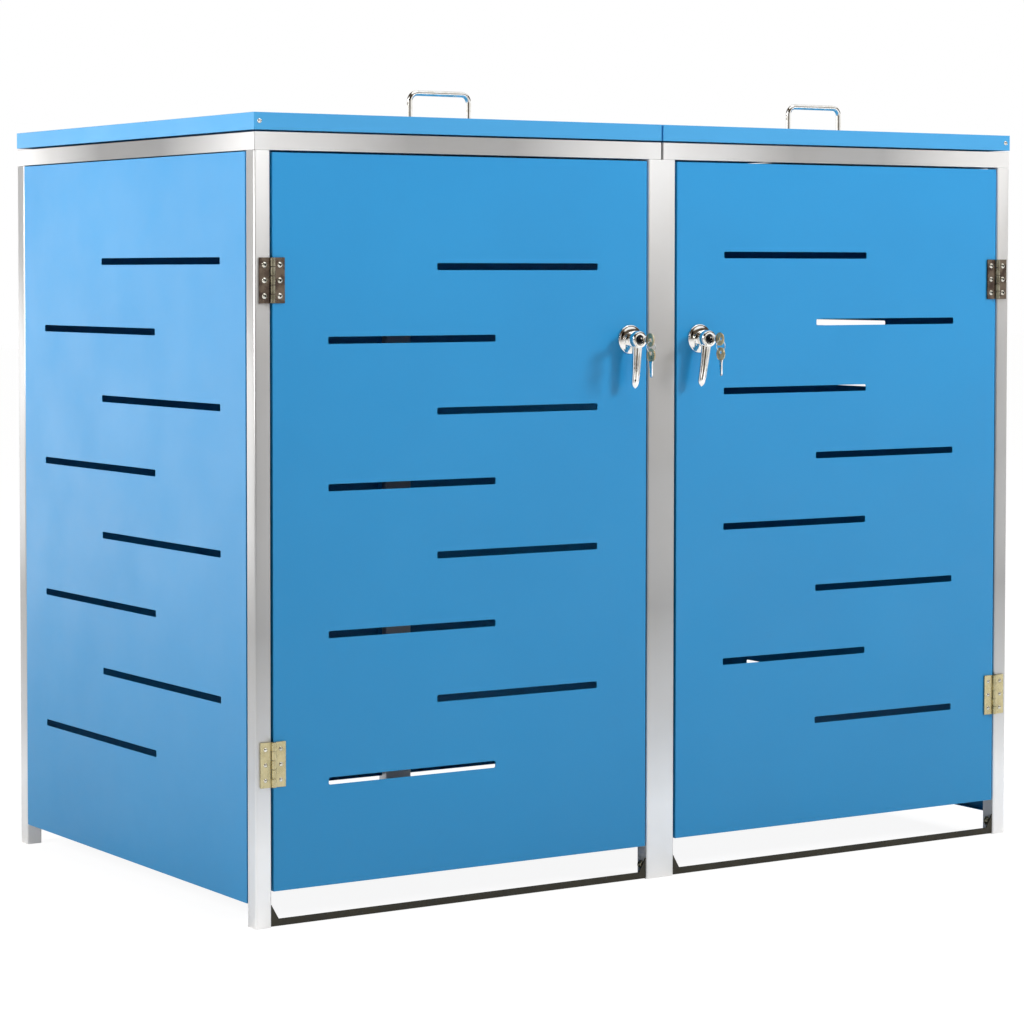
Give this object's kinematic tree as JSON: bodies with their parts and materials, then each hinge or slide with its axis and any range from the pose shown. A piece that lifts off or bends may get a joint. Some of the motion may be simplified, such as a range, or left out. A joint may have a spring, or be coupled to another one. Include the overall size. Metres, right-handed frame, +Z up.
{
  "type": "two-bay outdoor bin shed",
  "caption": "Double outdoor cabinet for wheeled bins: steel tube frame, slotted hinged doors with lever locks, slotted sides and rear-hinged lift-up lids.",
  "frame": {"origin": "on the ground, at the middle of the overall box in X and Y", "axes": "+Z up, +X to the right seen from the doors, doors on the -Y side"},
  "size_m": [1.381, 0.844, 1.1673],
  "materials": {
    "blue_paint": "satin powder coat",
    "frame_steel": "polished stainless tube",
    "hinge_steel": "bright pressed steel with a warm tint",
    "base_steel": "dark coated angle",
    "chrome": "bright chrome plate",
    "zinc": "zinc plate"
  },
  "bodies": {
    "frame": {"front_left_post": "frame_steel", "front_centre_post": "frame_steel", "front_right_post": "frame_steel", "rear_left_post": "frame_steel", "rear_centre_post": "frame_steel", "rear_right_post": "frame_steel", "left_top_rail_front": "frame_steel", "left_top_rail_inner": "frame_steel", "left_top_rail_rear": "frame_steel", "left_top_rail_outer": "frame_steel", "left_base_rail": "base_steel", "left_side_panel": "blue_paint", "left_back_panel": "blue_paint", "left_upper_hinge_frame_leaf": "hinge_steel", "left_upper_hinge_pin": "hinge_steel", "left_lower_hinge_frame_leaf": "hinge_steel", "left_lower_hinge_pin": "hinge_steel", "left_lid_hinge_frame_leaf": "zinc", "left_lid_hinge_pin": "zinc", "right_top_rail_front": "frame_steel", "right_top_rail_inner": "frame_steel", "right_top_rail_rear": "frame_steel", "right_top_rail_outer": "frame_steel", "right_base_rail": "base_steel", "right_side_panel": "blue_paint", "right_back_panel": "blue_paint", "right_upper_hinge_frame_leaf": "hinge_steel", "right_upper_hinge_pin": "hinge_steel", "right_lower_hinge_frame_leaf": "hinge_steel", "right_lower_hinge_pin": "hinge_steel", "right_lid_hinge_frame_leaf": "zinc", "right_lid_hinge_pin": "zinc"},
    "left_door": {"left_door": "blue_paint", "left_upper_hinge_door_leaf": "hinge_steel", "left_lower_hinge_door_leaf": "hinge_steel", "left_lock_housing": "chrome", "left_lock_nut": "zinc"},
    "left_lever": {"left_lock_lever": "chrome", "left_lock_cam": "zinc"},
    "left_key": {"left_lock_plug": "zinc", "left_key": "chrome"},
    "left_key_ring": {"left_key_ring": "chrome", "left_spare_key": "chrome"},
    "left_lid": {"left_lid": "blue_paint", "left_lid_hinge_lid_leaf": "zinc", "left_lid_handle": "chrome"},
    "right_door": {"right_door": "blue_paint", "right_upper_hinge_door_leaf": "hinge_steel", "right_lower_hinge_door_leaf": "hinge_steel", "right_lock_housing": "chrome", "right_lock_nut": "zinc"},
    "right_lever": {"right_lock_lever": "chrome", "right_lock_cam": "zinc"},
    "right_key": {"right_lock_plug": "zinc", "right_key": "chrome"},
    "right_key_ring": {"right_key_ring": "chrome", "right_spare_key": "chrome"},
    "right_lid": {"right_lid": "blue_paint", "right_lid_hinge_lid_leaf": "zinc", "right_lid_handle": "chrome"}
  },
  "joints": [
    {"name": "left_door_hinge", "type": "hinge", "parent": "frame", "child": "left_door", "pos_m": [-0.6635, -0.36305, 0.561], "axis": [0, 0, -1], "range_deg": [0, 170]},
    {"name": "left_lever_turn", "type": "hinge", "parent": "left_door", "child": "left_lever", "pos_m": [-0.058, -0.35925, 0.807], "axis": [0, 1, 0], "range_deg": [0, 90]},
    {"name": "left_key_turn", "type": "hinge", "parent": "left_lever", "child": "left_key", "pos_m": [-0.058, -0.38555, 0.807], "axis": [0, 1, 0], "range_deg": [0, 90]},
    {"name": "left_key_ring_swing", "type": "hinge", "parent": "left_key", "child": "left_key_ring", "pos_m": [-0.058, -0.41205, 0.8052], "axis": [-1, 0, 0], "range_deg": [-8, 60]},
    {"name": "left_lid_hinge", "type": "hinge", "parent": "frame", "child": "left_lid", "pos_m": [-0.34575, 0.41905, 1.09975], "axis": [-1, 0, 0], "range_deg": [0, 100]},
    {"name": "right_door_hinge", "type": "hinge", "parent": "frame", "child": "right_door", "pos_m": [0.6635, -0.36305, 0.561], "axis": [0, 0, 1], "range_deg": [0, 170]},
    {"name": "right_lever_turn", "type": "hinge", "parent": "right_door", "child": "right_lever", "pos_m": [0.07, -0.35925, 0.807], "axis": [0, -1, 0], "range_deg": [0, 90]},
    {"name": "right_key_turn", "type": "hinge", "parent": "right_lever", "child": "right_key", "pos_m": [0.07, -0.38555, 0.807], "axis": [0, -1, 0], "range_deg": [0, 90]},
    {"name": "right_key_ring_swing", "type": "hinge", "parent": "right_key", "child": "right_key_ring", "pos_m": [0.07, -0.41205, 0.8052], "axis": [-1, 0, 0], "range_deg": [-8, 60]},
    {"name": "right_lid_hinge", "type": "hinge", "parent": "frame", "child": "right_lid", "pos_m": [0.34575, 0.41905, 1.09975], "axis": [-1, 0, 0], "range_deg": [0, 100]}
  ]
}
